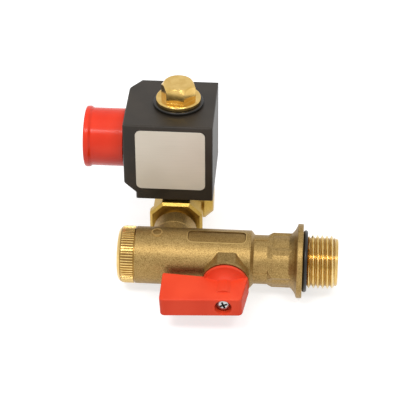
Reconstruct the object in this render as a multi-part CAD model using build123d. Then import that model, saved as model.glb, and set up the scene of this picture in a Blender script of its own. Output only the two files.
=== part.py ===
from build123d import *
from math import cos, pi, radians, sin, sqrt
import os

# Automatic drain valve: a brass ball valve with a strainer, and a solenoid valve screwed to its outlet.
# Millimetres. The origin is on the inlet thread's axis at the flange's seat face. +X runs out of the
# thread, +Z runs up the coil, and the handle is on the -Y side.

# Fits
screwed_gap = 0.04          # between screwed pieces of one body, radial
running_gap = 0.05          # between pieces that turn or slide on each other, radial
loose_gap = 0.3             # round the armature tube, so that the coil drops on, and round the stop lug
face_gap = 0.05             # between flat faces of pieces that move on each other
past = 1.0                  # how far a cutting solid runs past the face that it opens
edge_break = 0.3            # small broken edges

# Inlet end, along X from the seat face
inlet_thread_d = 20.955     # G 1/2
inlet_thread_length = 12.5
lead_in_d = 18.4
lead_in_length = 1.1
lead_in_edge = 0.4
thread_chamfer = 0.9
bore_mouth = 0.6            # widening of the inlet bore at the thread's end
bore_mouth_length = 1.6
bore_cone = 2.0             # along the bore, where it narrows to the ball's port
inlet_bore_d = 14.0
inlet_bore_length = 22.0
flange_d = 29.0
rim_thickness = 2.3
rim_round = 0.5
flare_length = 3.1
flare_sag = 0.45
hex_across = 18.7
hex_length = 6.3
hex_slope = 2.3
hex_turn = 3.5              # about the valve's axis, towards the handle
neck_d = 19.2
neck_length = 4.9
neck_ridge_width = 1.0      # die's parting ridges on top and in front
neck_ridge_height = 0.2
shoulder_length = 1.3
inlet_oring_section = 1.78
inlet_relief_d = 20.6       # under the O-ring
relief_lead = 0.2
inlet_relief_length = 1.9

# Barrel
barrel_d = 22.4
barrel_length = 44.8
chamber_d = 17.2            # strainer chamber and seat pocket, one bore
window_length = 22.5
window_width = 6.4
window_depth = 0.4
window_corner = 2.0
window_to_stem = 4.3        # window's middle, from the stem's axis towards the strainer
window_turn = 4.5           # about the barrel's axis, towards the handle
ring_mark_d = 4.4
ring_mark_to_outlet = 5.5
ring_mark_height = 0.25
ring_mark_width = 0.6

# Ball and seats
ball_to_seat_face = 29.2    # ball's centre from the flange's seat face
ball_d = 15.0
port_d = 8.5                # bore of the ball and its seats
seat_length = 3.4
seat_inner_reach = 4.8      # seat's near face from the ball's centre
retainer_length = 4.0
retainer_bore_depth = 1.2   # for the screen's end
retainer_notch_width = 2.0
retainer_notch_depth = 1.2

# Stem, along -Y from the ball's centre
stem_boss_sides = 8
stem_boss_across = 16.6
stem_boss_end = 15.0
stem_ring_d = 18.6
stem_ring_end = 15.9
stem_ring_cone = 1.1        # along the stem, where the boss widens to the ring
gland_d = 10.0
gland_end = 17.2
stem_d = 7.1
stem_flange_d = 8.8
stem_flange_start = 8.2
stem_flange_thickness = 1.2
thrust_washer_thickness = 0.55
tongue_length = 6.6
tongue_width = 2.4
tongue_start = 6.0
slot_gap = 0.1
square_across = 5.0
square_end = 26.9
oring_section = 1.0
oring_groove_width = 1.3
oring_stations = (11.9, 14.3)
stop_lug_place = 90.0       # from the valve's axis, on the coil's side
stop_lug_angle = 30.0
stop_lug_radii = (5.4, 7.0)
stop_lug_height = 1.5
stop_slack = 1.0            # degrees between the lug and the slot's end at each stop
turn_range = 92.8           # from the open stop to the closed one
open_overrun = 2.8          # the handle rests this far past the valve's axis

# Handle
skirt_d = 18.0
skirt_start = 16.1
skirt_height = 1.7
skirt_blend = 2.0
skirt_sag = 0.5
hump_d = 9.6
hump_end = 26.7
lever_left = 24.2           # lever's end from the stem's axis
lever_back_left = 14.7
lever_back = 17.3           # inside the skirt
lever_back_turn = 6.0       # where the back edge starts to slope, left of the stem's axis
lever_front = 31.2
lever_front_right = 7.0
lever_right = 8.87
lever_thickness = 7.9
lever_corner = 1.8
lever_edge = 0.6
screw_pocket_d = 6.5
screw_floor = 28.0
screw_hole_d = 3.4
screw_d = 2.9
screw_length = 9.0
screw_head_d = 5.3
screw_head_height = 1.6
screw_head_edge = 0.7
screw_head_sag = 0.3
screw_crown_d = 1.8
screw_slot_width = 0.8
screw_slot_length = 3.1
screw_slot_depth = 1.0
screw_slot_turn = 20.0

# Strainer cap and screen
cap_length = 7.1
cap_corner = 2.8
cap_corner_count = 5        # cones that make up the round edge, so that the ribs stay light
rib_count = 64
rib_depth = 0.35
cap_neck = 0.6              # plain stretch between the ribs and the barrel
spigot_length = 5.0
cap_seal_section = 1.48
cap_seal_pocket = 1.6
cap_dish_d = 11.0
cap_dish_depth = 0.6
screen_d = 12.8
screen_wall = 0.5
screen_pocket = 3.4         # how deep the screen stands in the cap
screen_window = 2.2
screen_bridge = 1.25        # metal left between two rows of windows
windows_round = 10

# Outlet boss and its nipple, along +Y from the barrel's axis
outlet_to_barrel_end = 13.7
outlet_boss_d = 17.2
outlet_boss_end = 18.0
outlet_blend = 1.8
outlet_boss_chamfer = 0.5
outlet_bore_d = 7.0
nipple_thread_d = 13.716    # 1/4 NPT
nipple_length = 11.6
nipple_lead = 1.0           # chamfer at its end

# Solenoid valve body
port_face = 20.06
body_length = 38.0
body_across = 18.9
body_corner = 4.6
port_collar_across = 21.0
port_collar_corner = 5.0
port_collar_length = 3.5
port_collar_chamfer = 1.0
port_depth = 10.0
port_floor_corner = 0.9     # radial width of the sloped corner at a port's floor
port_floor_drop = 0.5
side_boss_reach = 13.95
side_boss_d = 16.2
side_boss_chamfer = (2.8, 3.3)   # across and along the boss
side_boss_lift = 1.0
collar_d = 18.8
collar_top = 10.6
chamber_floor = 2.5
plunger_chamber_d = 13.0
nozzle_d = 6.4
nozzle_top = 4.5
nozzle_wall = 0.5           # left between the inlet drilling and the nozzle's side
orifice_d = 3.2
inlet_drill_height = 4.4
outlet_drill_height = -1.0
tube_thread_d = 16.8
tube_thread_floor = 6.5

# Armature tube, core and plunger, along Z
tube_d = 13.0
tube_wall = 1.0
tube_top_gap = 0.35         # from the tube's end to the nut's seat
tube_oring_section = 1.2
plunger_length = 20.0
plunger_stroke = 2.2
plunger_groove = 1.2
seal_disc_d = 6.0
seal_disc_thickness = 2.0
spring_pocket_d = 5.0
spring_pocket_depth = 6.5
spring_wire = 0.6
spring_coil_d = 3.9
spring_turns = 6
core_pocket_depth = 1.5
shading_inner_d = 7.0
shading_outer_d = 9.2
shading_depth = 1.0
stud_d = 8.0
stud_end_gap = 0.6
core_shoulder = 0.2

# Coil
coil_left = 20.55           # all four from the tube's axis
coil_right = 14.7
coil_front = 17.75
coil_back = 17.1
coil_base = 12.0
coil_height = 34.1
coil_back_chamfer = (5.0, 7.1)
coil_low_chamfer = (4.7, 4.4)
coil_low_step = 3.1         # below the low chamfer
coil_edge = 0.7
lug_width = 10.2
lug_depth = 3.0
lug_drop = 0.75             # of the index lug below the coil
yoke_d = 25.4
yoke_wall = 1.5
yoke_clear = 0.1
yoke_base = 3.0             # from the coil's underside
bobbin_wall = 1.0
winding_d = 21.0
base_washer_d = 18.8
base_washer_thickness = 1.3

# Label
label_width = 27.3
label_height = 26.9
label_corner = 2.2
label_thickness = 0.3
label_from_right = 3.0
label_from_base = 5.1

# Washer and cap nut on top of the coil
top_washer_d = 19.9
top_washer_thickness = 1.3
top_washer_round = 0.4
nut_flange_d = 17.8
nut_flange_thickness = 1.85
nut_across = 12.0
nut_height = 6.25
nut_chamfer = 1.7
nut_crown_d = 11.4
nut_flange_round = 0.6
nut_turn = -8.0
nut_wall = 2.0

# Conduit thread and its red cap, along -X from the tube's axis
conduit_thread_d = 21.34    # 1/2 NPT
conduit_bore_d = 16.0
conduit_height = 29.1
wire_bore_d = 14.0          # in the coil, behind the hub
wire_bore_depth = 2.0
conduit_root_d = 19.0
conduit_seat = 3.2          # how deep the hub stands in the coil
conduit_length = 14.6
conduit_lead = 1.0          # chamfer at its end
conduit_foot = 0.6          # chamfer at the coil
thread_cap_d = 23.3
thread_cap_gap = 1.05       # from the coil to the cap's mouth
thread_cap_end = 37.4
thread_cap_end_wall = 1.6
thread_cap_lip_d = 24.6
thread_cap_lip = 2.0
thread_cap_fillet = 1.0     # along the cup, where it widens to the lip
thread_cap_round = 0.8

# Places worked out from the sizes above
hex_end = -(rim_thickness + flare_length + hex_length)
neck_start = hex_end - hex_slope
neck_end = neck_start - neck_length
barrel_start = neck_end - shoulder_length
barrel_end = barrel_start - barrel_length
stem_x = -ball_to_seat_face
outlet_x = barrel_end + outlet_to_barrel_end
tube_y = port_face + body_length / 2
coil_top = coil_base + coil_height
nut_seat = coil_top + face_gap + top_washer_thickness
nut_top = nut_seat + nut_flange_thickness + nut_height
stud_top = nut_top - nut_wall - stud_end_gap
tube_top = nut_seat - tube_top_gap
plunger_base = nozzle_top + face_gap
plunger_top = plunger_base + plunger_length
core_face = plunger_top + plunger_stroke
spring_base = plunger_top - spring_pocket_depth
spring_top = core_face + core_pocket_depth
washer_seat = stem_flange_start + stem_flange_thickness + face_gap + thrust_washer_thickness
bore_d = tube_d - 2 * tube_wall

valve_axis = Plane.YZ
stem_axis = Plane(origin=(stem_x, 0, 0), x_dir=(1, 0, 0), z_dir=(0, -1, 0))
outlet_axis = Plane(origin=(outlet_x, 0, 0), x_dir=(-1, 0, 0), z_dir=(0, 1, 0))
tube_axis = Plane(origin=(outlet_x, tube_y, 0), x_dir=(1, 0, 0), z_dir=(0, 0, 1))
conduit_axis = Plane(origin=(outlet_x, tube_y, conduit_height), x_dir=(0, 1, 0), z_dir=(-1, 0, 0))
side_axis = Plane(origin=(outlet_x, tube_y, side_boss_lift), x_dir=(0, 1, 0), z_dir=(1, 0, 0))


def flat(point):
    """A (radius, height) pair as a point of the local XZ plane."""
    return (point[0], 0, point[1])


def outline(start, *steps):
    """Closed face of (radius, height) points. A pair of points is an arc through the first to the second."""
    edges, here = [], start
    for step in steps:
        if isinstance(step[0], tuple):
            edges.append(ThreePointArc(flat(here), flat(step[0]), flat(step[1])))
            here = step[1]
        else:
            edges.append(Line(flat(here), flat(step)))
            here = step
    edges.append(Line(flat(here), flat(start)))
    return make_face(edges)


def turned(*points):
    """Solid turned about local Z from the points of outline."""
    return revolve(outline(*points), Axis.Z)


def ring(outer_d, inner_d, low, high):
    """Plain ring about local Z."""
    return turned((inner_d / 2, low), (outer_d / 2, low), (outer_d / 2, high), (inner_d / 2, high))


def rod(diameter, low, high):
    """Plain cylinder about local Z."""
    return Pos(0, 0, low) * Cylinder(diameter / 2, high - low, align=(Align.CENTER, Align.CENTER, Align.MIN))


def bar(width, depth, low, high):
    """Rectangular bar along local Z."""
    return Pos(0, 0, low) * Box(width, depth, high - low, align=(Align.CENTER, Align.CENTER, Align.MIN))


def prism(sides, across, low, high, turn=0):
    """Regular prism along local Z, of a width across flats."""
    face = RegularPolygon(across / 2, sides, major_radius=False, rotation=turn)
    return Pos(0, 0, low) * extrude(face, high - low)


def torus(mean_d, section, height):
    """O-ring about local Z."""
    return Pos(0, 0, height) * Torus(mean_d / 2, section / 2)


def sector(inner, outer, start, sweep, low, high):
    """Part of a ring about local Z, from the angle start on, for sweep degrees."""
    face = outline((inner, low), (outer, low), (outer, high), (inner, high))
    return Rot(0, 0, start) * revolve(face, Axis.Z, sweep)


def sag(first, second, depth):
    """Middle of an arc from first to second that bows by depth to the right of the way there."""
    dr, dh = second[0] - first[0], second[1] - first[1]
    length = sqrt(dr * dr + dh * dh)
    return ((first[0] + second[0]) / 2 + depth * dh / length, (first[1] + second[1]) / 2 - depth * dr / length)


def corner(radius, height, size, turn_h):
    """Quarter arc at an outer corner, from the face to the side: turn_h is +1 at the top, -1 at the foot."""
    inset = size * (1 - cos(radians(45)))
    return (radius - inset, height - turn_h * inset)


def valve_outside():
    """Barrel, neck, flange and thread, turned, with the hexagon, both bosses and the ring mark."""
    rim_r, hex_r = flange_d / 2, hex_across / 2 / cos(radians(30))
    flare_top, rim_side = (rim_r - rim_round, -rim_thickness), (rim_r, rim_round - rim_thickness)
    flare_foot = (hex_r - 0.8, -rim_thickness - flare_length)
    shape = turned(
        (0, barrel_end), (barrel_d / 2, barrel_end), (barrel_d / 2, barrel_start), (neck_d / 2, neck_end),
        (neck_d / 2, hex_end), (flare_foot[0], hex_end), flare_foot,
        (sag(flare_foot, flare_top, -flare_sag), flare_top),
        (corner(rim_r, -rim_thickness, rim_round, -1), rim_side), (rim_r, -rim_round),
        (corner(rim_r, 0, rim_round, 1), (rim_r - rim_round, 0)), (inlet_relief_d / 2, 0),
        (inlet_relief_d / 2, inlet_relief_length - relief_lead),
        (inlet_thread_d / 2, inlet_relief_length), (inlet_thread_d / 2, inlet_thread_length - thread_chamfer),
        (lead_in_d / 2, inlet_thread_length),
        (lead_in_d / 2, inlet_thread_length + lead_in_length - lead_in_edge),
        (lead_in_d / 2 - lead_in_edge, inlet_thread_length + lead_in_length),
        (0, inlet_thread_length + lead_in_length))
    cone = turned((0, neck_start), (neck_d / 2 - 0.2, neck_start), (hex_r, hex_end),
                  (hex_r, -rim_thickness - 1), (0, -rim_thickness - 1))
    hexagon = prism(6, hex_across, neck_start, -rim_thickness - 1, hex_turn) & cone
    top = barrel_d / 2 + ring_mark_height
    mark = ring(ring_mark_d, ring_mark_d - 2 * ring_mark_width, barrel_d / 2 - past, top)
    mark_place = Pos(outlet_x - ring_mark_to_outlet, 0, 0)
    return valve_axis * (shape + hexagon) + neck_ridges() + stem_boss() + outlet_boss() + mark_place * mark


def neck_ridges():
    """Two low ridges along the neck, where the forging die parts."""
    reach = neck_d / 2 + neck_ridge_height
    ridge = Pos((neck_start + neck_end) / 2, 0, reach / 2) * Box(neck_length + 1, neck_ridge_width, reach)
    return ridge + Rot(90, 0, 0) * ridge


def stem_boss():
    """Octagonal boss with a turned ring, the gland and the stop lug, in front of the ball."""
    half = stop_lug_angle / 2
    lug_top = stem_ring_end + stop_lug_height
    lug = sector(*stop_lug_radii, stop_lug_place - half, stop_lug_angle, stem_ring_end - past, lug_top)
    boss = prism(stem_boss_sides, stem_boss_across, 0, stem_boss_end, 180 / stem_boss_sides)
    cone_end = stem_boss_end - edge_break
    cone_start = cone_end - stem_ring_cone
    boss += turned((0, cone_start), (stem_boss_across / 2, cone_start), (stem_ring_d / 2, cone_end),
                   (stem_ring_d / 2, stem_ring_end), (0, stem_ring_end))
    return stem_axis * (boss + rod(gland_d, 0, gland_end) + lug)


def outlet_boss():
    """Round boss at the back of the strainer chamber, and the nipple that the solenoid valve screws onto."""
    r, root = outlet_boss_d / 2, outlet_boss_d / 2 + outlet_blend * 0.6
    foot, head = (root, barrel_d / 2 - 2.2), (r, barrel_d / 2 - 2.2 + outlet_blend * 1.4)
    edge = outlet_boss_chamfer
    boss = turned((0, 0), (root, 0), foot, (sag(foot, head, -0.6), head), (r, outlet_boss_end - edge),
                  (r - edge, outlet_boss_end), (nipple_thread_d / 2, outlet_boss_end),
                  (nipple_thread_d / 2, outlet_boss_end + nipple_length - nipple_lead),
                  (nipple_thread_d / 2 - nipple_lead, outlet_boss_end + nipple_length),
                  (0, outlet_boss_end + nipple_length))
    return outlet_axis * boss


def valve_inside():
    """The way through: inlet bore, port, seat pocket and strainer chamber, the stem's hole and the outlet."""
    end = inlet_thread_length + lead_in_length + past
    bore_end = inlet_thread_length + lead_in_length - inlet_bore_length
    shoulder = stem_x + seat_inner_reach + seat_length
    pocket_r = chamber_d / 2 + cap_seal_section + running_gap
    mouth_r = inlet_bore_d / 2 + bore_mouth
    pocket_end = barrel_end + cap_seal_pocket
    passage = turned((0, barrel_end - past), (pocket_r, barrel_end - past), (pocket_r, pocket_end),
                     (chamber_d / 2, pocket_end), (chamber_d / 2, shoulder),
                     (port_d / 2, shoulder), (port_d / 2, bore_end - bore_cone), (inlet_bore_d / 2, bore_end),
                     (inlet_bore_d / 2, end - bore_mouth_length), (mouth_r, end - past), (mouth_r, end),
                     (0, end))
    stem_hole = rod(stem_d + 2 * running_gap, 0, gland_end + past)
    stem_hole += rod(stem_flange_d + 4 * running_gap, 0, washer_seat)
    outlet = rod(outlet_bore_d, 0, outlet_boss_end + nipple_length + past)
    return valve_axis * passage + stem_axis * stem_hole + outlet_axis * outlet


def window_cut():
    """Shallow cast window on top of the barrel, with round corners and a floor that follows the barrel."""
    frame = Pos(stem_x - window_to_stem, 0, 0) * extrude(
        RectangleRounded(window_length, window_width, window_corner), barrel_d)
    skin = valve_axis * ring(2 * barrel_d, barrel_d - 2 * window_depth, barrel_end, 0)
    return Rot(window_turn, 0, 0) * (frame & skin)


def valve_body():
    return valve_outside() - valve_inside() - window_cut()


def inlet_oring():
    mean_d = inlet_relief_d + inlet_oring_section + 2 * screwed_gap
    return valve_axis * torus(mean_d, inlet_oring_section, inlet_oring_section / 2)


def ball_seat(side):
    """PTFE seat on one side of the ball: side is +1 towards the inlet, -1 towards the strainer."""
    low, high = seat_inner_reach, seat_inner_reach + seat_length
    shape = ring(chamber_d - 2 * screwed_gap, port_d, low, high) - Sphere(ball_d / 2 + running_gap)
    place = Plane(origin=(stem_x, 0, 0), x_dir=(0, 1, 0), z_dir=(side, 0, 0))
    return place * shape


def seat_retainer():
    """Screwed ring behind the strainer-side seat, notched for a pin spanner and bored for the screen's end."""
    near = seat_inner_reach + seat_length
    far = near + retainer_length
    shape = ring(chamber_d - 2 * screwed_gap, port_d, near, far)
    shape -= rod(screen_d + 2 * running_gap, far - retainer_bore_depth, far + past)
    notch = bar(chamber_d + 2, retainer_notch_width, far - retainer_notch_depth, far + past)
    place = Plane(origin=(stem_x, 0, 0), x_dir=(0, 0, 1), z_dir=(-1, 0, 0))
    return place * (shape - notch)


def turned_to_rest(shape):
    """A piece of the handle group, turned with the handle to where it rests."""
    return stem_axis * (Rot(0, 0, open_overrun) * shape)


def ball():
    """Ball with its port along the valve and the stem's slot across it."""
    port = Rot(0, 90, 0) * Cylinder(port_d / 2, ball_d + 2)
    slot = bar(tongue_width + 2 * slot_gap, ball_d, tongue_start - slot_gap, ball_d)
    return turned_to_rest(Sphere(ball_d / 2) - port - slot)


def stem():
    """Tongue, flange, shaft with two grooves, and the square that carries the handle."""
    top = stem_flange_start + stem_flange_thickness
    shape = bar(tongue_width, tongue_length, tongue_start, stem_flange_start + 0.2)
    shape += rod(stem_flange_d, stem_flange_start, top)
    shape += rod(stem_d, stem_flange_start, gland_end)
    shape += bar(square_across, square_across, gland_end - 1, square_end) & rod(stem_d, 0, square_end)
    for station in oring_stations:
        low, high = station - oring_groove_width / 2, station + oring_groove_width / 2
        shape -= ring(stem_d + past, stem_d - 2 * oring_section, low, high)
    shape -= rod(screw_d + 2 * screwed_gap, screw_floor - screw_length - 1, square_end + 1)
    return turned_to_rest(shape)


def stem_orings():
    section = oring_section - 2 * screwed_gap
    rings = [torus(stem_d - oring_section, section, station) for station in oring_stations]
    return turned_to_rest(rings[0] + rings[1])


def stem_thrust_washer():
    seat = washer_seat - thrust_washer_thickness
    return stem_axis * ring(stem_flange_d + 2 * running_gap, stem_d + 2 * running_gap, seat, washer_seat)


def handle():
    """Lever with its round skirt and socket hump, the stem's square, the screw's pocket and the stop's slot."""
    lever = extrude(Plane.XZ * make_face(Polyline(
        (-lever_left, lever_back_left), (-lever_left, lever_front), (lever_front_right, lever_front),
        (lever_right, lever_back), (-lever_back_turn, lever_back), close=True)), lever_thickness / 2, both=True)
    lever = fillet(lever.edges().filter_by(Axis.Y).group_by(Axis.Z)[-1], lever_corner)
    lever = fillet(lever.faces().sort_by(Axis.X)[0].edges(), lever_edge)
    foot = (skirt_d / 2, skirt_start + skirt_height)
    head = (hump_d / 2, skirt_start + skirt_height + skirt_blend)
    socket = turned((0, skirt_start), (skirt_d / 2 - edge_break, skirt_start),
                    (skirt_d / 2, skirt_start + edge_break), foot, (sag(foot, head, -skirt_sag), head),
                    (hump_d / 2, hump_end), (0, hump_end))
    return turned_to_rest(lever + socket - handle_pockets())


def handle_pockets():
    """What is cut from the handle: gland room, stop slot, square socket, screw hole and screw pocket."""
    across = square_across + 2 * screwed_gap
    pockets = rod(gland_d + 4 * running_gap, skirt_start - past, gland_end + 4 * face_gap)
    pockets += bar(across, across, skirt_start, square_end + face_gap)
    pockets += rod(screw_hole_d, skirt_start, lever_front)
    pockets += rod(screw_pocket_d, screw_floor, lever_front + past)
    start = stop_lug_place - stop_lug_angle / 2 - open_overrun - stop_slack
    sweep = stop_lug_angle + turn_range + 2 * stop_slack
    inner, outer = stop_lug_radii
    top = stem_ring_end + stop_lug_height + 4 * face_gap
    return pockets + sector(inner - loose_gap, outer + loose_gap, start, sweep, skirt_start - past, top)


def handle_screw():
    """Pan-head screw with a cross recess."""
    top = screw_floor + face_gap + screw_head_height
    low = screw_floor + face_gap
    side, crown = (screw_head_d / 2, low + screw_head_edge), (screw_crown_d / 2, top)
    shape = turned((0, low), (screw_head_d / 2, low), side, (sag(side, crown, screw_head_sag), crown), (0, top))
    shape += rod(screw_d, screw_floor - screw_length, low + screw_head_edge)
    for turn in (screw_slot_turn, screw_slot_turn + 90):
        shape -= Rot(0, 0, turn) * bar(screw_slot_width, screw_slot_length, top - screw_slot_depth, top + past)
    return turned_to_rest(shape)


def ribbed_disc(low, high):
    """Disc with fine ribs round its rim: four points for each rib."""
    outer, inner = barrel_d / 2, barrel_d / 2 - rib_depth
    step = 360 / rib_count
    corners = []
    for rib in range(rib_count):
        for radius, share in ((outer, -0.2), (outer, 0.2), (inner, 0.35), (inner, 0.65)):
            angle = radians((rib + share) * step)
            corners.append((radius * cos(angle), radius * sin(angle)))
    return Pos(0, 0, low) * extrude(make_face(Polyline(*corners, close=True)), high - low)


def strainer_cap():
    """Knurled head with a round outer edge, a screwed spigot and the screen's pocket."""
    r, outer = barrel_d / 2, barrel_end - cap_length
    slopes = [radians(90 * step / cap_corner_count) for step in range(cap_corner_count + 1)]
    round_edge = [(r - cap_corner * (1 - sin(slope)), outer + cap_corner * (1 - cos(slope)))
                  for slope in slopes]
    edge = turned((0, outer), *round_edge, (r, barrel_end), (0, barrel_end))
    head = ribbed_disc(outer, barrel_end - cap_neck) & edge
    head += rod(barrel_d - 2 * rib_depth, barrel_end - 2 * cap_neck, barrel_end)
    head += rod(chamber_d - 2 * running_gap, barrel_end - 2 * cap_neck, barrel_end + spigot_length)
    pocket_floor = barrel_end + spigot_length - screen_pocket
    head -= rod(screen_d + 2 * screwed_gap, pocket_floor, barrel_end + spigot_length + past)
    head -= rod(cap_dish_d, outer - past, outer + cap_dish_depth)
    return valve_axis * head


def strainer_cap_seal():
    mean_d = chamber_d + cap_seal_section
    return valve_axis * torus(mean_d, cap_seal_section, barrel_end + cap_seal_section / 2 + face_gap)


def strainer_screen():
    """Tube with rows of square openings, from the cap's pocket to the retainer's."""
    low = barrel_end + spigot_length - screen_pocket + face_gap
    high = stem_x - seat_inner_reach - seat_length - retainer_length + 1
    tube = ring(screen_d, screen_d - 2 * screen_wall, low, high)
    first, last = low + screen_pocket + screen_window, high - retainer_bore_depth - screen_window
    pitch = screen_window + screen_bridge
    cut = Box(screen_d, screen_window, screen_window, align=(Align.MIN, Align.CENTER, Align.CENTER))
    for row in range(int((last - first) / pitch) + 1):
        for place in range(windows_round):
            tube -= Pos(0, 0, first + row * pitch) * (Rot(0, 0, place * 360 / windows_round) * cut)
    return valve_axis * tube


def square_prism(across, corner_cut, low, high):
    """Square prism along local Z with its long corners cut."""
    face = chamfer(Rectangle(across, across).vertices(), corner_cut)
    return Pos(0, 0, low) * extrude(face, high - low)


def port_collar(low, outer_face):
    """Wider stretch at one port, with its outer face's edges broken: outer_face is 0 below, -1 above."""
    collar = square_prism(port_collar_across, port_collar_corner, low, low + port_collar_length)
    return chamfer(collar.faces().sort_by(Axis.Z)[outer_face].edges(), port_collar_chamfer)


def solenoid_body():
    """Forged body: square chamfered ports front and back, side boss, collar, chamber and nozzle."""
    inset = port_collar_length / 2
    block = square_prism(body_across, body_corner, port_face + inset, port_face + body_length - inset)
    block += port_collar(port_face, 0) + port_collar(port_face + body_length - port_collar_length, -1)
    across, along = side_boss_chamfer
    boss = turned((0, 0), (side_boss_d / 2, 0), (side_boss_d / 2, side_boss_reach - along),
                  (side_boss_d / 2 - across, side_boss_reach), (0, side_boss_reach))
    shape = outlet_axis * block + side_axis * boss + tube_axis * rod(collar_d, 0, collar_top)
    return shape - solenoid_ways()


def solenoid_ways():
    """Both ports, the plunger's chamber round the nozzle, the orifice and the two cross drillings."""
    port_r = nipple_thread_d / 2 + screwed_gap
    floor = port_depth + port_floor_drop
    port = turned((0, -past), (port_r, -past), (port_r, port_depth), (port_r - port_floor_corner, floor),
                  (0, floor))
    front = Pos(0, 0, port_face) * port
    back = Pos(0, 0, port_face + body_length) * (Rot(180, 0, 0) * port)
    inlet = Pos(0, inlet_drill_height, 0) * rod(orifice_d, port_face, tube_y - nozzle_d / 2 - nozzle_wall)
    outlet = Pos(0, outlet_drill_height, 0) * rod(orifice_d, tube_y, port_face + body_length)
    chamber = rod(plunger_chamber_d, chamber_floor, collar_top + past) - rod(nozzle_d, 0, nozzle_top)
    chamber += rod(orifice_d, outlet_drill_height, nozzle_top + past)
    chamber += rod(tube_thread_d, tube_thread_floor, collar_top + past)
    return outlet_axis * (front + back + inlet + outlet) + tube_axis * chamber


def armature_tube():
    """Thin tube on a screwed foot, with a groove for its O-ring."""
    foot_d = tube_thread_d - 2 * screwed_gap
    foot_top = collar_top - face_gap
    shape = rod(foot_d, tube_thread_floor, foot_top) + rod(tube_d, tube_thread_floor, tube_top)
    shape -= rod(bore_d, tube_thread_floor - past, tube_top + past)
    groove = ring(foot_d + past, foot_d - 2 * tube_oring_section, tube_thread_floor - past,
                  tube_thread_floor + tube_oring_section)
    return tube_axis * (shape - groove)


def tube_oring():
    mean_d = tube_thread_d - 2 * screwed_gap - tube_oring_section
    middle = tube_thread_floor + tube_oring_section / 2
    return tube_axis * torus(mean_d, tube_oring_section - 2 * screwed_gap, middle)


def fixed_core():
    """Core that closes the tube, with the shading ring's groove, the spring's pocket and the nut's stud."""
    shape = rod(bore_d - 2 * screwed_gap, core_face, tube_top)
    shape += rod(tube_d, tube_top, tube_top + core_shoulder)
    shape += rod(stud_d, tube_top, stud_top)
    shape -= ring(shading_outer_d, shading_inner_d, core_face - past, core_face + shading_depth)
    shape -= rod(spring_pocket_d, core_face - past, spring_top)
    return tube_axis * shape


def shading_ring():
    gap = screwed_gap
    outer, inner = shading_outer_d - 2 * gap, shading_inner_d + 2 * gap
    return tube_axis * ring(outer, inner, core_face, core_face + shading_depth)


def plunger():
    """Armature with the seal's pocket below, the spring's pocket above and two grooves along it."""
    shape = rod(bore_d - 4 * running_gap, plunger_base, plunger_top)
    shape -= rod(seal_disc_d, plunger_base - past, plunger_base + seal_disc_thickness)
    shape -= rod(spring_pocket_d, spring_base, plunger_top + past)
    for side in (-1, 1):
        groove = bar(2 * plunger_groove, plunger_groove, plunger_base - past, plunger_top + past)
        shape -= Pos(side * (bore_d / 2 - 2 * running_gap), 0, 0) * groove
    return tube_axis * shape


def plunger_seal():
    top = plunger_base + seal_disc_thickness - screwed_gap
    return tube_axis * rod(seal_disc_d - 2 * screwed_gap, plunger_base, top)


def plunger_spring():
    """Return spring between the plunger and the core, with a whole number of turns."""
    length = spring_top - spring_base - spring_wire - 2 * face_gap
    path = Helix(length / spring_turns, length, spring_coil_d / 2)
    start = Plane(origin=path @ 0, z_dir=path % 0)
    wire = sweep(start * Circle(spring_wire / 2), path)
    return tube_axis * (Pos(0, 0, spring_base + spring_wire / 2 + face_gap) * wire)


def coil_block():
    """Outer block of the coil: back-left and low-left chamfers, soft edges and the index lug."""
    across, drop = coil_low_chamfer
    low = coil_base + coil_low_step
    front = Plane(origin=(outlet_x, tube_y - coil_front, 0), x_dir=(1, 0, 0), z_dir=(0, -1, 0))
    side = front * make_face(Polyline(
        (coil_right, coil_base), (coil_right, coil_top), (-coil_left, coil_top), (-coil_left, low + drop),
        (across - coil_left, low), (across - coil_left, coil_base), close=True))
    block = extrude(side, -coil_front - coil_back)
    chamfer_x, chamfer_y = coil_back_chamfer
    left, back = outlet_x - coil_left, tube_y + coil_back
    wedge = Pos(0, 0, coil_base - past) * extrude(make_face(Polyline(
        (left - past, back + past), (left - past, back - chamfer_y), (left, back - chamfer_y),
        (left + chamfer_x, back), (left + chamfer_x, back + past), close=True)), coil_height + 2 * past)
    block = fillet(block.edges().group_by(Axis.Z)[-1] + block.edges().filter_by(Axis.Z).sort_by(Axis.Y)[:3],
                   coil_edge) - wedge
    lug = Pos(outlet_x, tube_y - coil_front + coil_edge, coil_base - lug_drop) * Box(
        lug_width, lug_depth, lug_drop + past, align=(Align.CENTER, Align.MIN, Align.MIN))
    return block + lug


def coil_housing():
    """Moulded block, open for the armature tube, the yoke and the conduit hub."""
    bore = tube_d + 2 * loose_gap
    room = rod(bore, coil_base - lug_drop - past, coil_top + past)
    low, high = coil_base + yoke_base, coil_top - yoke_base
    room += rod(yoke_d + 2 * yoke_clear, low - yoke_clear, high + yoke_clear)
    hub = rod(conduit_root_d + 2 * screwed_gap, coil_left - conduit_seat, coil_left + past)
    hub += rod(wire_bore_d, coil_left - conduit_seat - wire_bore_depth, coil_left)
    return coil_block() - tube_axis * room - conduit_axis * hub


def coil_yoke():
    """Steel can round the winding, with both end plates."""
    low, high = coil_base + yoke_base, coil_top - yoke_base
    inner = tube_d / 2 + loose_gap
    wall = yoke_wall
    return tube_axis * turned(
        (inner, low), (yoke_d / 2, low), (yoke_d / 2, high), (inner, high), (inner, high - wall),
        (yoke_d / 2 - wall, high - wall), (yoke_d / 2 - wall, low + wall), (inner, low + wall))


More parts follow.
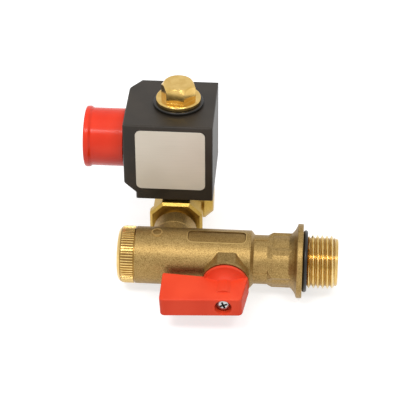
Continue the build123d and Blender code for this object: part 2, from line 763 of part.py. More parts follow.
def coil_bobbin():
    """Plastic spool for the winding."""
    low = coil_base + yoke_base + yoke_wall + yoke_clear
    high = coil_top - yoke_base - yoke_wall - yoke_clear
    inner = tube_d / 2 + loose_gap
    outer = yoke_d / 2 - yoke_wall - yoke_clear
    wall = bobbin_wall
    return tube_axis * turned(
        (inner, low), (outer, low), (outer, low + wall), (inner + wall, low + wall),
        (inner + wall, high - wall),
        (outer, high - wall), (outer, high), (inner, high))


def coil_winding():
    low = coil_base + yoke_base + yoke_wall + 2 * yoke_clear + bobbin_wall
    high = coil_top - yoke_base - yoke_wall - 2 * yoke_clear - bobbin_wall
    inner_d = tube_d + 2 * (loose_gap + bobbin_wall + yoke_clear)
    return tube_axis * ring(winding_d, inner_d, low, high)


def rating_label():
    """Blank plate on the coil's front."""
    plate = extrude(RectangleRounded(label_width, label_height, label_corner), label_thickness)
    centre_x = outlet_x + coil_right - label_from_right - label_width / 2
    centre_z = coil_base + label_from_base + label_height / 2
    front = Plane(origin=(centre_x, tube_y - coil_front, centre_z), x_dir=(1, 0, 0), z_dir=(0, -1, 0))
    return front * plate


def coil_base_washer():
    top = coil_base - face_gap
    return tube_axis * ring(base_washer_d, tube_d + 2 * screwed_gap, top - base_washer_thickness, top)


def coil_top_washer():
    """Rubber washer with round outer edges."""
    low, r, soft = coil_top + face_gap, top_washer_d / 2, top_washer_round
    inner = tube_d / 2 + screwed_gap
    return tube_axis * turned(
        (inner, low), (r - soft, low), (corner(r, low, soft, -1), (r, low + soft)), (r, nut_seat - soft),
        (corner(r, nut_seat, soft, 1), (r - soft, nut_seat)), (inner, nut_seat))


def coil_nut():
    """Flanged cap nut: chamfered hexagon with a flat disc top, and a blind thread."""
    foot = nut_seat + nut_flange_thickness
    corner_r = nut_across / 2 / cos(radians(30))
    dome = turned((0, nut_seat), (corner_r, nut_seat), (corner_r, nut_top - nut_chamfer),
                  (nut_crown_d / 2, nut_top), (0, nut_top))
    hexagon = prism(6, nut_across, nut_seat, nut_top, nut_turn) & dome
    r, soft = nut_flange_d / 2, nut_flange_round
    flange = turned((0, nut_seat), (r - edge_break, nut_seat), (r, nut_seat + edge_break), (r, foot - soft),
                    (corner(r, foot, soft, 1), (r - soft, foot)), (0, foot))
    hole = rod(stud_d + 2 * screwed_gap, nut_seat - past, nut_top - nut_wall)
    return tube_axis * (flange + hexagon - hole)


def conduit_hub():
    """Threaded tube that stands in the coil's left side."""
    root, end = coil_left - conduit_seat, coil_left + conduit_length
    r, foot, lead = conduit_thread_d / 2, conduit_foot, conduit_lead
    shape = rod(conduit_root_d, root + face_gap, coil_left + foot)
    shape += turned((0, coil_left), (r - foot, coil_left), (r, coil_left + foot), (r, end - lead),
                    (r - lead, end), (0, end))
    return conduit_axis * (shape - rod(conduit_bore_d, root - past, end + past))


def thread_cap():
    """Push-on protector: a cup with a lip round its closed end."""
    mouth, end, r = coil_left + thread_cap_gap, thread_cap_end, thread_cap_d / 2
    lip_r, soft = thread_cap_lip_d / 2, thread_cap_round
    side, face = (lip_r, end - soft), (lip_r - soft, end)
    foot, widest = (r, end - thread_cap_lip - thread_cap_fillet), (lip_r, end - thread_cap_lip)
    cup = turned((0, mouth), (r, mouth), foot, widest, side,
                 (corner(lip_r, end, soft, 1), face), (0, end))
    room = rod(conduit_thread_d + 2 * running_gap, mouth - past, end - thread_cap_end_wall)
    return conduit_axis * (cup - room)


nodes = {
    "valve_body": valve_body,
    "inlet_oring": inlet_oring,
    "ball_seat_inlet": lambda: ball_seat(1),
    "ball_seat_strainer": lambda: ball_seat(-1),
    "seat_retainer": seat_retainer,
    "ball": ball,
    "stem": stem,
    "stem_orings": stem_orings,
    "stem_thrust_washer": stem_thrust_washer,
    "handle": handle,
    "handle_screw": handle_screw,
    "strainer_cap": strainer_cap,
    "strainer_cap_seal": strainer_cap_seal,
    "strainer_screen": strainer_screen,
    "solenoid_body": solenoid_body,
    "armature_tube": armature_tube,
    "tube_oring": tube_oring,
    "fixed_core": fixed_core,
    "shading_ring": shading_ring,
    "plunger": plunger,
    "plunger_seal": plunger_seal,
    "plunger_spring": plunger_spring,
    "coil_housing": coil_housing,
    "coil_yoke": coil_yoke,
    "coil_bobbin": coil_bobbin,
    "coil_winding": coil_winding,
    "rating_label": rating_label,
    "coil_base_washer": coil_base_washer,
    "coil_top_washer": coil_top_washer,
    "coil_nut": coil_nut,
    "conduit_hub": conduit_hub,
    "thread_cap": thread_cap,
}

os.makedirs("parts", exist_ok=True)
for name, make in nodes.items():
    export_step(make(), f"parts/{name}.step")
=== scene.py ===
# %% [markdown]
# # An automatic drain valve, dressed for the studio
#
# The object is a small brass ball valve with a strainer, and a solenoid valve screwed to its back. Its solids
# come from a CAD model, in metres, so nothing here has to be fitted by eye. This lesson gives each solid a
# finish, cuts the screw threads that the CAD model leaves smooth, and lights the whole thing like a catalogue
# picture: white ground, soft light from above, one long highlight on every turned surface.

from math import cos, hypot, radians, sin, tau

import bpy
from mathutils import Matrix, Vector


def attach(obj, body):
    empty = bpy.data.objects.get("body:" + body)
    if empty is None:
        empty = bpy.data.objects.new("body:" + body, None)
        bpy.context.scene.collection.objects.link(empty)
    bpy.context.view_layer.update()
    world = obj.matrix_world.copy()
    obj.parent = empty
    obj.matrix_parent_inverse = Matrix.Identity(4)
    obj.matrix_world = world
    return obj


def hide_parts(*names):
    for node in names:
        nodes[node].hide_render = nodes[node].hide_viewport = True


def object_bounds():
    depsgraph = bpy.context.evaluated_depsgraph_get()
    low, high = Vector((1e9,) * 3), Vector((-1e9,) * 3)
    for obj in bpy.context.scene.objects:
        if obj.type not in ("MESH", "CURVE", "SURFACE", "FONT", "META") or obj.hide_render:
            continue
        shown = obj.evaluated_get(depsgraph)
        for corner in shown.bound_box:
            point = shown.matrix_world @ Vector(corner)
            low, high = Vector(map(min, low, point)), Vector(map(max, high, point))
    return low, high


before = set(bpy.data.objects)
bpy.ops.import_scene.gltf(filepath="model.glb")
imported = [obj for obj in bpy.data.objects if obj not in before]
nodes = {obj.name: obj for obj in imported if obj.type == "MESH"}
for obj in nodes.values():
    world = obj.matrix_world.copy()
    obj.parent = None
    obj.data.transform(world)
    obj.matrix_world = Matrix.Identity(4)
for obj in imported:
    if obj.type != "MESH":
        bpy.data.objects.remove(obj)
cad_low, cad_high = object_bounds()
mm = 0.001
middle = (cad_low + cad_high) / 2
print(len(nodes), "solids in a box of", [round(side / mm, 1) for side in cad_high - cad_low], "mm")

# %% [markdown]
# ## Camera
#
# The catalogue picture was taken from the front and about 35 degrees above, through a long lens, which keeps
# parallel edges nearly parallel. A camera that looks along minus Z is turned with a matrix whose columns are
# its right, up and back directions. The focal length is known in pixels, so it is turned into millimetres with
# the width of Blender's default sensor.

# %% Camera
picture_width = 400
focal_pixels = 1685.0
sensor_width = 36.0
azimuth, elevation, roll = radians(4.375), radians(35.184), radians(-0.326)
eye = Vector((0.12, -524.79, 398.33)) * mm

back = Vector((sin(azimuth) * cos(elevation), -cos(azimuth) * cos(elevation), sin(elevation)))
level = Vector((cos(azimuth), sin(azimuth), 0))
upright = back.cross(level)
camera_right = cos(roll) * level + sin(roll) * upright
camera_up = cos(roll) * upright - sin(roll) * level

lens = bpy.data.cameras.new("catalogue_lens")
lens.sensor_width = sensor_width
lens.lens = focal_pixels / picture_width * sensor_width
lens.clip_start, lens.clip_end = 0.01, 20
camera = bpy.data.objects.new("catalogue_camera", lens)
bpy.context.collection.objects.link(camera)
camera.matrix_world = Matrix.Translation(eye) @ Matrix((camera_right, camera_up, back)).transposed().to_4x4()
bpy.context.scene.camera = camera
print("lens of", round(lens.lens, 1), "mm")

# %% [markdown]
# ## Shader maths as plain arithmetic
#
# A procedural finish is mostly sums of noises and masks. Wiring each Math node by hand hides the idea, so one
# small class wraps a socket and turns + - and * into Math nodes. Colours and other nodes go through a single
# method, `node`, which sets a node's settings first and then its sockets.


# %% Sockets that can be added and multiplied
class Level:
    """A number, colour or vector that varies over a surface, held as a socket of a node tree."""

    def __init__(self, tree, socket):
        self.tree, self.socket = tree, socket

    def node(self, kind, settings=None, sockets=None, output=0):
        """A node of any kind: its settings, then the values or links of its sockets."""
        made = self.tree.nodes.new(kind)
        for name, value in (settings or {}).items():
            setattr(made, name, value)
        for name, value in (sockets or {}).items():
            if isinstance(value, Level):
                self.tree.links.new(value.socket, made.inputs[name])
            else:
                made.inputs[name].default_value = value
        return Level(self.tree, made.outputs[output])

    def math(self, operation, first, second=0.0):
        return self.node("ShaderNodeMath", {"operation": operation}, {0: first, 1: second})

    def __add__(self, other):
        return self.math("ADD", self, other)

    def __sub__(self, other):
        return self.math("SUBTRACT", self, other)

    def __rsub__(self, other):
        return self.math("SUBTRACT", other, self)

    def __mul__(self, other):
        return self.math("MULTIPLY", self, other)

    __radd__, __rmul__ = __add__, __mul__

    def between(self, low, high):
        """0 below low, 1 above high, and a soft step in between."""
        return self.node("ShaderNodeMapRange", {"interpolation_type": "SMOOTHSTEP"},
                         {"Value": self, "From Min": low, "From Max": high})

    def tint(self, dark, light):
        """The colour dark where this is 0 and light where it is 1."""
        return self.node("ShaderNodeMix", {"data_type": "RGBA"}, {"Factor": self, 6: dark, 7: light}, output=2)


def colour(red, green, blue):
    """A colour as it looks on screen, 0 to 255, turned into the linear numbers that a shader takes."""
    return tuple(((c / 255 + 0.055) / 1.055) ** 2.4 if c > 10 else c / 255 / 12.92
                 for c in (red, green, blue)) + (1.0,)


print("brass on screen is", [round(c, 3) for c in colour(196, 160, 92)])

# %% [markdown]
# ## A finish with soft edges
#
# No real edge is sharp: a moulding has its radius and a machined corner its burr, and both catch a thread of
# light. The CAD solids have crisp edges, which would need thousands of faces to round. Cycles' Bevel node
# bends only the normal near an edge, so each finish starts from it and lays its own bumps on top.


# %% Start and end of a finish
class Finish:
    """A material under construction, with noises in millimetres and one Principled shader."""

    def __init__(self, name):
        self.material = bpy.data.materials.new(name)
        self.material.use_nodes = True
        self.tree = self.material.node_tree
        self.shader = self.tree.nodes["Principled BSDF"]
        self.start = Level(self.tree, None)
        self.place = self.start.node("ShaderNodeTexCoord", output=3)

    def noise(self, size, detail=2.0, stretch=(1, 1, 1), rough=0.5):
        """Cloudy noise whose blobs are about size millimetres across, drawn out by stretch."""
        scaled = self.start.node("ShaderNodeMapping", None,
                                 {"Vector": self.place, "Scale": [1 / s for s in stretch]})
        return self.start.node("ShaderNodeTexNoise", None, {
            "Vector": scaled, "Scale": 1 / (size * mm), "Detail": detail, "Roughness": rough})

    def along(self, axis):
        """Place along the axis 0, 1 or 2, in millimetres."""
        return self.start.node("ShaderNodeSeparateXYZ", None, {0: self.place}, output=axis) * (1 / mm)

    def from_axis(self):
        """Distance from the valve's own axis, the X axis, in millimetres."""
        flat = self.start.node("ShaderNodeVectorMath", {"operation": "MULTIPLY"},
                               {0: self.place, 1: (0, 1 / mm, 1 / mm)})
        return self.start.node("ShaderNodeVectorMath", {"operation": "LENGTH"}, {0: flat}, output=1)

    def bump(self, height, depth, radius):
        """Normal of a bump map that is depth millimetres high, over edges rounded by radius."""
        soft_edge = self.start.node("ShaderNodeBevel", {"samples": 6}, {"Radius": radius * mm})
        return self.start.node("ShaderNodeBump", None, {
            "Height": height, "Distance": depth * mm, "Strength": 1.0, "Normal": soft_edge})

    def done(self, **sockets):
        """Sets the shader's sockets, named with underscores for spaces."""
        for name, value in sockets.items():
            socket = self.shader.inputs[name.replace("_", " ")]
            if isinstance(value, Level):
                self.tree.links.new(value.socket, socket)
            else:
                socket.default_value = value
        return self.material


# %% [markdown]
# ## Forged and blasted brass
#
# The valve body is a hot forging. It comes out of the die with a skin like fine sandpaper, then it is blasted
# and only the sealing faces are machined. The skin is a fine grain plus soft hollows, and the brass is a little
# browner in the hollows. A high roughness spreads the light over the whole barrel in one broad band. The
# solenoid body is pressed in a better die and tumbled, so it is smoother, yellower and has shiny edges.
# On top of the barrel is a cast window. Its floor is painted darker, with painted shade along its wall, and its
# brim carries a painted highlight. The distance to its outline, a rectangle with round corners, tells the three
# apart. The small raised ring beside it, left by an ejector, has a darker floor and a lighter crest.


# %% Forged brass
window_middle = -33.5
window_half_length, window_half_width, window_corner = 11.25, 3.2, 2.0
window_turn = radians(4.5)
top_from, top_full = 5.0, 6.0
ring_middle, ring_inside, ring_outside = -56.8, 1.6, 2.2


def past_window(finish):
    """Distance to the outline of the cast window on the barrel, in millimetres, which is negative inside it."""
    x = finish.along(0) - window_middle
    across = finish.along(1) * cos(window_turn) + finish.along(2) * sin(window_turn)
    x, across = (place.math("MAXIMUM", place.math("ABSOLUTE", place) - (half - window_corner))
                 for place, half in ((x, window_half_length), (across, window_half_width)))
    return x.math("SQRT", x * x + across * across) - window_corner


def from_ring(finish):
    """Distance from the middle of the raised ring, seen from above, in millimetres."""
    x, y = finish.along(0) - ring_middle, finish.along(1)
    return x.math("SQRT", x * x + y * y)


def marks_with_painted_light(finish, paint, shade):
    """Paint with a darker floor in the cast window and in the ring, painted shade along the window's wall, a
    painted highlight on the window's brim, and a lighter crest on the ring."""
    past = past_window(finish)
    top = finish.along(2).between(top_from, top_full)
    floor = top * (1 - past.between(-0.06, 0.06))
    # painted shade: a dark line along the window's wall
    wall = floor * past.between(-0.5, -0.1)
    # painted highlight: a light band on the window's brim
    brim = top * past.between(0.0, 0.12) * (1 - past.between(0.25, 0.5))
    paint = floor.tint(paint, shade.tint(colour(126, 99, 56), colour(162, 132, 80)))
    # the colour of the painted shade along the window's wall
    paint = wall.tint(paint, colour(106, 82, 44))
    middle_out = from_ring(finish)
    ring_floor = top * (1 - middle_out.between(ring_inside - 0.15, ring_inside))
    ring_crest = top * middle_out.between(ring_inside, ring_inside + 0.1)
    ring_crest = ring_crest * (1 - middle_out.between(ring_outside, ring_outside + 0.1))
    paint = (ring_floor * 0.35).tint(paint, colour(128, 101, 58))
    # the painted highlight on the window's brim, and the same lighter colour on the ring's crest
    return (brim + ring_crest).tint(paint, colour(192, 161, 102))


def forged_brass(name, dark, light, roughness, relief, edge, window=False):
    """A forging's skin: grain and hollows that are relief millimetres deep, with edges worn round."""
    finish = Finish(name)
    grain = finish.noise(0.34, detail=2, rough=0.6)
    hollow = finish.noise(1.5, detail=1)
    cloud = finish.noise(9.0, detail=1)
    shade = (grain * 0.8 + hollow * 0.12 + cloud * 0.08).between(0.34, 0.66)
    paint = shade.tint(dark, light)
    if window:
        # the cast window and the ring: a darker floor, painted shade on the wall and a painted highlight on the
        # brim
        paint = marks_with_painted_light(finish, paint, shade)
    return finish.done(
        Base_Color=paint,
        Metallic=1.0,
        Roughness=roughness + 0.16 * grain,
        Normal=finish.bump(grain + hollow * 0.4, relief, edge),
    )


forged = forged_brass("forged_brass", colour(130, 104, 58), colour(182, 152, 97), 0.36, 0.06, 0.13, window=True)
pressed = forged_brass("pressed_brass", colour(174, 141, 64), colour(198, 164, 84), 0.28, 0.03, 0.25)
print("made", forged.name, "and", pressed.name)

# %% [markdown]
# ## Turned brass
#
# The strainer cap, the cap nut and every thread are cut on a lathe, so they are bright, yellow and smooth. One
# recipe serves them all: a haze in the colour and in the gloss, and an edge radius that suits the piece. The
# nut is polished and soft-edged, the knurl and the threads are crisp. The grooves of the knurl and the roots of
# the threads get painted shade, so there the distance from the axis darkens the brass.


# %% Turned brass
def turned_brass(name, dark, light, roughness, edge, groove=None, groove_shade=None):
    """Lathe-cut brass with a faint haze and edges rounded by edge.

    groove holds the radii of a groove's floor and of its brim, between which the brass is painted darker, as
    shade.
    """
    finish = Finish(name)
    haze = finish.noise(2.8, detail=3)
    paint = haze.between(0.3, 0.7).tint(dark, light)
    if groove:
        floor, brim = groove
        radius = finish.from_axis()
        # painted shade: the brass darkens between the groove's floor and its brim
        unshaded = 1 - radius.between(floor - 0.1, floor) * (1 - radius.between(floor + 0.05, brim))
        paint = unshaded.tint(groove_shade, paint)
    return finish.done(
        Base_Color=paint,
        Metallic=1.0,
        Roughness=roughness + 0.08 * haze,
        Normal=finish.bump(haze, 0.004, edge),
    )


turned = turned_brass("turned_brass", colour(204, 170, 102), colour(222, 190, 124), 0.2, 0.2)
polished = turned_brass("polished_brass", colour(212, 175, 98), colour(226, 191, 116), 0.16, 0.2)
# the knurl's grooves and the thread's roots get a darker colour as painted shade
knurled = turned_brass("knurled_brass", colour(212, 177, 108), colour(228, 196, 128), 0.2, 0.02,
                       groove=(10.8, 11.08), groove_shade=colour(148, 114, 58))
thread_cut = turned_brass("thread_cut_brass", colour(214, 188, 128), colour(228, 204, 146), 0.15, 0.02,
                          groove=(9.28, 9.7), groove_shade=colour(176, 142, 84))
print("made", turned.name, polished.name, knurled.name, thread_cut.name)

# %% [markdown]
# ## Two reds
#
# The lever is a coated casting with a satin skin, and the protector on the conduit thread is a soft polythene
# cup that lets a little light in. Both reds are nearly the same hue. The cup is smoother, so it shows the
# soft boxes as one clear line. Both mirror less than most plastics, because a strong white reflection would
# turn an orange red into pink.


# %% Red plastics
def satin_red(name, dark, light, roughness, grain_size, edge, gloss=0.3):
    """A satin red skin with a faint grain, or ripples if the grain size is large."""
    finish = Finish(name)
    skin = finish.noise(grain_size, detail=2)
    cloud = finish.noise(11.0, detail=1)
    return finish.done(
        Base_Color=cloud.between(0.3, 0.7).tint(dark, light),
        Roughness=roughness + 0.1 * skin,
        Normal=finish.bump(skin, 0.01, edge),
        Specular_IOR_Level=gloss,
        Subsurface_Weight=0.05,
        Subsurface_Radius=(0.003, 0.0006, 0.0003),
    )


lever_red = satin_red("lever_red", colour(220, 62, 30), colour(228, 70, 37), 0.46, 0.6, 0.5)
cap_red = satin_red("cap_red", colour(220, 50, 22), colour(230, 58, 28), 0.13, 5.0, 0.4, gloss=0.26)
print("made", lever_red.name, "and", cap_red.name)

# %% [markdown]
# ## Black overmould and rubber
#
# The coil is potted in a dark thermoset that has a slightly grainy, warm black surface. Seen at a glancing
# angle it mirrors the white studio, which is why its side looks grey. Nitrile rubber is blacker and smoother.


# %% Black overmould and rubber
def black_coil():
    finish = Finish("black_coil")
    grain = finish.noise(0.35, detail=2)
    cloud = finish.noise(14.0, detail=2)
    return finish.done(
        Base_Color=cloud.between(0.25, 0.75).tint(colour(32, 26, 18), colour(47, 40, 32)),
        Roughness=0.4 + 0.1 * cloud,
        Specular_IOR_Level=0.34,
        Normal=finish.bump(grain, 0.012, 0.5),
    )


def nitrile():
    finish = Finish("nitrile")
    skin = finish.noise(1.2, detail=2)
    return finish.done(
        Base_Color=skin.tint(colour(15, 13, 10), colour(25, 22, 18)),
        Roughness=0.3 + 0.1 * skin,
        Normal=finish.bump(skin, 0.01, 0.3),
    )


coil_black, rubber = black_coil(), nitrile()
print("made", coil_black.name, "and", rubber.name)

# %% [markdown]
# ## Champagne plate, steel and zinc
#
# The plate on the coil is bare anodised foil, brushed across. Brushing is a noise that is stretched a hundred
# times along one direction. The steel tube, yoke and washers only have a faint haze. The screw is zinc plated,
# brighter and bluer, with painted shade in its cross recess, which is picked out by its depth along Y.


# %% Plate and steels
def champagne_plate():
    finish = Finish("champagne_plate")
    brushed = finish.noise(0.25, detail=2, stretch=(60, 1, 1))
    cloud = finish.noise(16.0, detail=1)
    return finish.done(
        Base_Color=(brushed * 0.4 + cloud * 0.6).between(0.3, 0.7).tint(colour(206, 197, 180),
                                                                        colour(216, 207, 191)),
        Metallic=0.25,
        Roughness=0.4 + 0.06 * brushed,
        Normal=finish.bump(brushed, 0.002, 0.2),
    )


def plain_metal(name, dark, light, roughness, grain_size=0.5):
    """A metal without a pattern of its own: a faint haze in colour and gloss."""
    finish = Finish(name)
    haze = finish.noise(grain_size, detail=3)
    return finish.done(
        Base_Color=haze.tint(dark, light),
        Metallic=1.0,
        Roughness=roughness + 0.1 * haze,
        Normal=finish.bump(haze, 0.004, 0.12),
    )


def zinc_plate():
    finish = Finish("zinc_plate")
    haze = finish.noise(0.5, detail=2)
    # painted shade in the cross recess, picked out by its depth along Y
    recess_shade = finish.along(1).between(-29.3, -28.95)
    return finish.done(
        Base_Color=recess_shade.tint(haze.tint(colour(176, 179, 178), colour(204, 207, 206)), colour(52, 50, 46)),
        Metallic=0.9,
        Roughness=0.24 + 0.1 * haze,
        Normal=finish.bump(haze, 0.003, 0.05),
    )


plate = champagne_plate()
steel = plain_metal("bright_steel", colour(150, 149, 146), colour(182, 181, 178), 0.24)
zinc = zinc_plate()
chrome = plain_metal("chromed_ball", colour(214, 215, 218), colour(228, 229, 232), 0.06)
copper = plain_metal("enamelled_copper", colour(176, 96, 56), colour(206, 126, 80), 0.28)
print("made", plate.name, steel.name, zinc.name, chrome.name, copper.name)


# %% [markdown]
# ## Seats and bobbin
#
# The ball turns between two rings of PTFE, and the coil is wound on a natural moulding. Both are pale, and
# they only show when the valve is cut open or looked into, so a soft cloud in colour and gloss is enough.


# %% Seats and bobbin
def pale_plastic(name, dark, light):
    """PTFE and natural mouldings: pale and waxy."""
    finish = Finish(name)
    cloud = finish.noise(4.0, detail=2)
    return finish.done(
        Base_Color=cloud.tint(dark, light),
        Roughness=0.42 + 0.08 * cloud,
        Normal=finish.bump(cloud, 0.01, 0.2),
    )


ptfe = pale_plastic("ptfe", colour(226, 224, 218), colour(240, 239, 235))
bobbin = pale_plastic("bobbin_moulding", colour(196, 190, 172), colour(212, 206, 190))
print("made", ptfe.name, "and", bobbin.name)

# %% [markdown]
# ## Give every solid its finish
#
# The record names a material slot for each solid, but a slot stands for a class of material and not for a look,
# so a table here says which finish each solid wears. A loop applies it and prints any solid that was forgotten.

# %% Finishes on the solids
wears = {
    forged: ["valve_body"],
    pressed: ["solenoid_body"],
    turned: ["seat_retainer", "stem"],
    polished: ["coil_nut"],
    knurled: ["strainer_cap"],
    lever_red: ["handle"],
    cap_red: ["thread_cap"],
    coil_black: ["coil_housing"],
    rubber: ["inlet_oring", "stem_orings", "strainer_cap_seal", "tube_oring", "plunger_seal",
             "coil_top_washer"],
    plate: ["rating_label"],
    steel: ["armature_tube", "fixed_core", "plunger", "plunger_spring", "coil_yoke", "coil_base_washer",
            "strainer_screen", "conduit_hub"],
    zinc: ["handle_screw"],
    chrome: ["ball"],
    copper: ["coil_winding", "shading_ring"],
    ptfe: ["ball_seat_inlet", "ball_seat_strainer", "stem_thrust_washer"],
    bobbin: ["coil_bobbin"],
}


def wear(piece, material):
    """Leaves one material on a piece."""
    piece.data.materials.clear()
    piece.data.materials.append(material)


for material, names in wears.items():
    for name in names:
        wear(nodes[name], material)
print("without a finish:", sorted(set(nodes) - {name for names in wears.values() for name in names}) or "none")

# %% [markdown]
# ## Screw threads
#
# The CAD model stops at a plain cylinder over the thread's crests. A thread is easy to make as a grid: walk
# along the axis and round it, and let the radius depend on how far the point is from the helix. The whole
# number of turns drops out, so only the fractional part of (distance along the axis / pitch - angle / turn)
# matters, and the flanks come out as straight V sides with flat crests and roots. The grid is made along X and
# a matrix carries it to its place, so that one recipe serves three threads.

# %% Thread as a grid
crest_share = 0.14


def thread_form(phase):
    """Height of a V thread, 0 at the root and 1 at the crest, for a phase of 0 to 1 that is 0 at a crest."""
    slope = abs(phase % 1.0 - 0.5) * 2
    return min(max((slope - crest_share) / (1 - 2 * crest_share), 0.0), 1.0)


def seat_at(point, along):
    """Matrix that carries the X axis to the line through point, in mm, in the direction along."""
    turn = Vector((1, 0, 0)).rotation_difference(Vector(along))
    return Matrix.Translation(Vector(point) * mm) @ turn.to_matrix().to_4x4()


def thread_skin(name, seat, length, crest, depth, pitch, crest_at=0.0, lead_in=0.0, run_out=0.0, inward=False,
                around=120, per_pitch=14):
    """Threaded tube along the X axis of seat, in mm, with its crest at crest_at on its +Y side.

    The crests grow over run_out at the near end and over lead_in at the far end. An inward thread stands
    inside a bore of radius crest, with its teeth towards the axis.
    """
    rows = round(length / pitch * per_pitch)
    vertices, faces = [], []
    for row in range(rows + 1):
        x = length * row / rows
        growth = min(1.0, (length - x) / lead_in if lead_in else 1.0, x / run_out if run_out else 1.0)
        for step in range(around):
            turn = step / around
            height = min(thread_form((x - crest_at) / pitch - turn), growth) * depth
            radius = crest - height if inward else crest - depth + height
            vertices.append(seat @ (Vector((x, radius * cos(tau * turn), radius * sin(tau * turn))) * mm))
    for row in range(rows):
        for step in range(around):
            here, across = row * around + step, row * around + (step + 1) % around
            quad = (here, here + around, across + around, across)
            faces.append(quad if inward else quad[::-1])
    mesh = bpy.data.meshes.new(name)
    mesh.from_pydata(vertices, [], faces)
    mesh.shade_smooth()
    mesh.set_sharp_from_angle(angle=radians(28))
    piece = bpy.data.objects.new(name, mesh)
    bpy.context.collection.objects.link(piece)
    return piece


def drawn_in(node, name, seat, low, high, wall, root):
    """Copy of a CAD solid whose outside, beyond the radius wall, is drawn in to root between low and high."""
    mesh = nodes[node].data.copy()
    to_seat = seat.inverted()
    drawn = 0
    for vertex in mesh.vertices:
        x, y, z = (to_seat @ vertex.co) / mm
        radius = hypot(y, z)
        if low < x < high and radius > max(wall, root):
            vertex.co = seat @ (Vector((x, y * root / radius, z * root / radius)) * mm)
            drawn += 1
    print("drew in", drawn, "corners of", node)
    piece = bpy.data.objects.new(name, mesh)
    bpy.context.collection.objects.link(piece)
    return piece


print("a crest is", thread_form(0), "and a root is", thread_form(0.5))

# %% [markdown]
# ## The inlet thread
#
# On the real valve the thread is cut into the forging, so a smooth cylinder can't stay under it. The forging is
# copied, its cylinder is drawn in to the thread's root, and the threaded skin is laid over it. The copy stands
# for the CAD solid, which keeps working for collision, hidden. The thread is G 1/2: 20.955 mm over the crests,
# with a pitch of 1.814 mm. Everything past the seat face was machined, so those faces of the copy wear turned
# brass.

# %% Inlet thread
half_inch_pitch = 1.814
half_inch_depth = 1.162
inlet_crest = 10.4775
inlet_start, inlet_end = 1.85, 12.5
inlet_seat = seat_at((inlet_start, 0, 0), (1, 0, 0))
slack = 0.06
inlet_wall = 8.5
machined_from = 0.02

forging = drawn_in("valve_body", "valve_forging", inlet_seat, -slack, inlet_end - inlet_start + slack,
                   inlet_wall, inlet_crest - half_inch_depth - slack)
wear(forging, forged)
forging.data.materials.append(turned)
for face in forging.data.polygons:
    face.material_index = int(face.center.x > machined_from * mm)
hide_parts("valve_body")
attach(forging, "valve")

inlet_thread = thread_skin("inlet_thread", inlet_seat, inlet_end - inlet_start, inlet_crest, half_inch_depth,
                           half_inch_pitch, crest_at=1.5, lead_in=1.0, run_out=0.5)
wear(inlet_thread, thread_cut)
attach(inlet_thread, "valve")
print("inlet thread:", len(inlet_thread.data.polygons), "faces")

# %% [markdown]
# ## The conduit thread and the outlet port's thread
#
# Under the red cup the coil has a steel conduit thread, 1/2 NPT. It shows when the cup is pulled off, and a few
# flecks of it show behind the cup's mouth. It is made like the inlet thread, from a copy of the hub. The outlet
# port at the back has an internal 1/4 NPT thread. There the CAD bore is the thread's outer diameter, so the
# skin only has to stand inside it with its teeth towards the axis.

# %% Conduit and port threads
coil_axis = Vector((-51.3, 39.06, 29.1))
conduit_start, conduit_end = 21.2, 34.2
conduit_crest = 10.67
conduit_wall = 8.4
conduit_ends = 0.8
conduit_seat = seat_at(coil_axis - Vector((conduit_start, 0, 0)), (-1, 0, 0))
conduit_run = conduit_end - conduit_start

hub = drawn_in("conduit_hub", "conduit_hub_turned", conduit_seat, -slack, conduit_run + slack, conduit_wall,
               conduit_crest - half_inch_depth - slack)
conduit_thread = thread_skin("conduit_thread", conduit_seat, conduit_run, conduit_crest, half_inch_depth,
                             half_inch_pitch, lead_in=conduit_ends, run_out=conduit_ends)
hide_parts("conduit_hub")
for piece in (hub, conduit_thread):
    wear(piece, steel)
    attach(piece, "coil")

port_mouth, port_chamfer = 58.06, 0.4
port_length, port_crest = 9.2, 6.89
quarter_inch_pitch, quarter_inch_depth = 1.411, 0.85
port_seat = seat_at((coil_axis.x, port_mouth - port_chamfer, 0), (0, -1, 0))
port_thread = thread_skin("port_thread", port_seat, port_length, port_crest, quarter_inch_depth,
                          quarter_inch_pitch, lead_in=0.3, run_out=1.2, inward=True, around=96)
wear(port_thread, turned)
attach(port_thread, "valve")
print("conduit and port threads:", len(conduit_thread.data.polygons), len(port_thread.data.polygons), "faces")

# %% [markdown]
# ## Ground and backdrop
#
# The object lies on a white table. A table that is only lit would come out grey, and one that only glows would
# have no shadow. So the table is a pale matt surface, and the camera and the reflections see a little extra
# glow added to it: away from the object it reaches white, and under the object the shadow stays.


# %% White ground
def seen_directly(start):
    """1 for camera, mirror and glass rays, 0 for the rays that carry light from surface to surface."""
    rays = start.node("ShaderNodeLightPath").socket.node.outputs
    camera_ray, glossy, clear = (Level(start.tree, rays[name])
                                 for name in ("Is Camera Ray", "Is Glossy Ray", "Is Transmission Ray"))
    return start.node("ShaderNodeClamp", None, {"Value": camera_ray + glossy + clear})


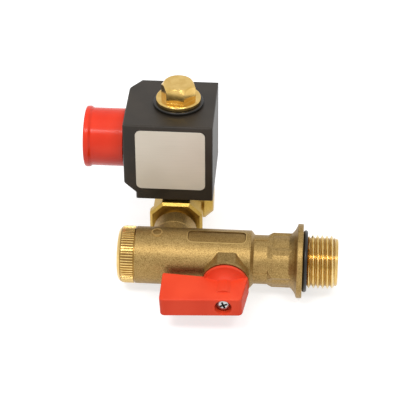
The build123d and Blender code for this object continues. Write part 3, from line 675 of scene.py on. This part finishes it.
def white_ground(paint, glow):
    """Matt ground of brightness paint that shows glow more than its light to the eye and in mirrors."""
    material = bpy.data.materials.new("white_ground")
    material.use_nodes = True
    start = Level(material.node_tree, None)
    matt = start.node("ShaderNodeBsdfDiffuse", None, {"Color": (paint, paint, paint, 1)})
    glowing = start.node("ShaderNodeEmission", None,
                         {"Color": (1, 1, 1, 1), "Strength": glow * seen_directly(start)})
    both = start.node("ShaderNodeAddShader", None, {0: matt, 1: glowing})
    start.tree.links.new(both.socket, start.tree.nodes["Material Output"].inputs["Surface"])
    return material


ground_width, ground_gap = 8, 0.05
ground_paint, ground_glow = 0.55, 0.68
bpy.ops.mesh.primitive_plane_add(size=ground_width,
                                 location=(middle.x, middle.y, cad_low.z - ground_gap * mm))
ground = bpy.context.object
ground.name = "ground"
wear(ground, white_ground(ground_paint, ground_glow))
print("ground at", round(ground.location.z / mm, 2), "mm")

# %% [markdown]
# ## Light
#
# A catalogue studio is a white tent with soft boxes. The world is the tent: a pale, even light that fills the
# shadows, and that the eye and the reflections see as plain white. Two soft boxes hang left and right above
# the camera. Every turned surface shows them as one line of light along its length, and the cap nut shows them
# as two sparks. A third box overhead only lights matt surfaces, because in metal it would draw a second line.


# %% Tent and soft boxes
def tent(strength):
    """World that lights evenly at strength and shows as white to the camera and in reflections."""
    world = bpy.data.worlds.new("tent")
    world.use_nodes = True
    bpy.context.scene.world = world
    start = Level(world.node_tree, None)
    background = world.node_tree.nodes["Background"]
    background.inputs["Color"].default_value = (1, 1, 1, 1)
    shown = strength + (1.0 - strength) * seen_directly(start)
    start.tree.links.new(shown.socket, background.inputs["Strength"])


def soft_box(name, offset, width, height, power, mirrored=True):
    """Area light that hangs at offset from the object's middle, in metres, and faces it."""
    light = bpy.data.lights.new(name, "AREA")
    light.shape, light.size, light.size_y, light.energy = "RECTANGLE", width, height, power
    box = bpy.data.objects.new(name, light)
    box.location = middle + Vector(offset)
    box.rotation_mode = "QUATERNION"
    box.rotation_quaternion = (-Vector(offset)).to_track_quat("-Z", "Y")
    box.visible_glossy = mirrored
    bpy.context.collection.objects.link(box)


tent_strength = 0.5
tent(tent_strength)
soft_box("overhead_box", (-0.15, -0.1, 0.75), 0.6, 0.5, 2.5, mirrored=False)
soft_box("left_box", (-0.25, -0.41, 0.64), 0.22, 0.14, 1.5)
soft_box("right_box", (0.25, -0.41, 0.64), 0.22, 0.14, 1.5)
bpy.context.scene.view_settings.view_transform = "Standard"
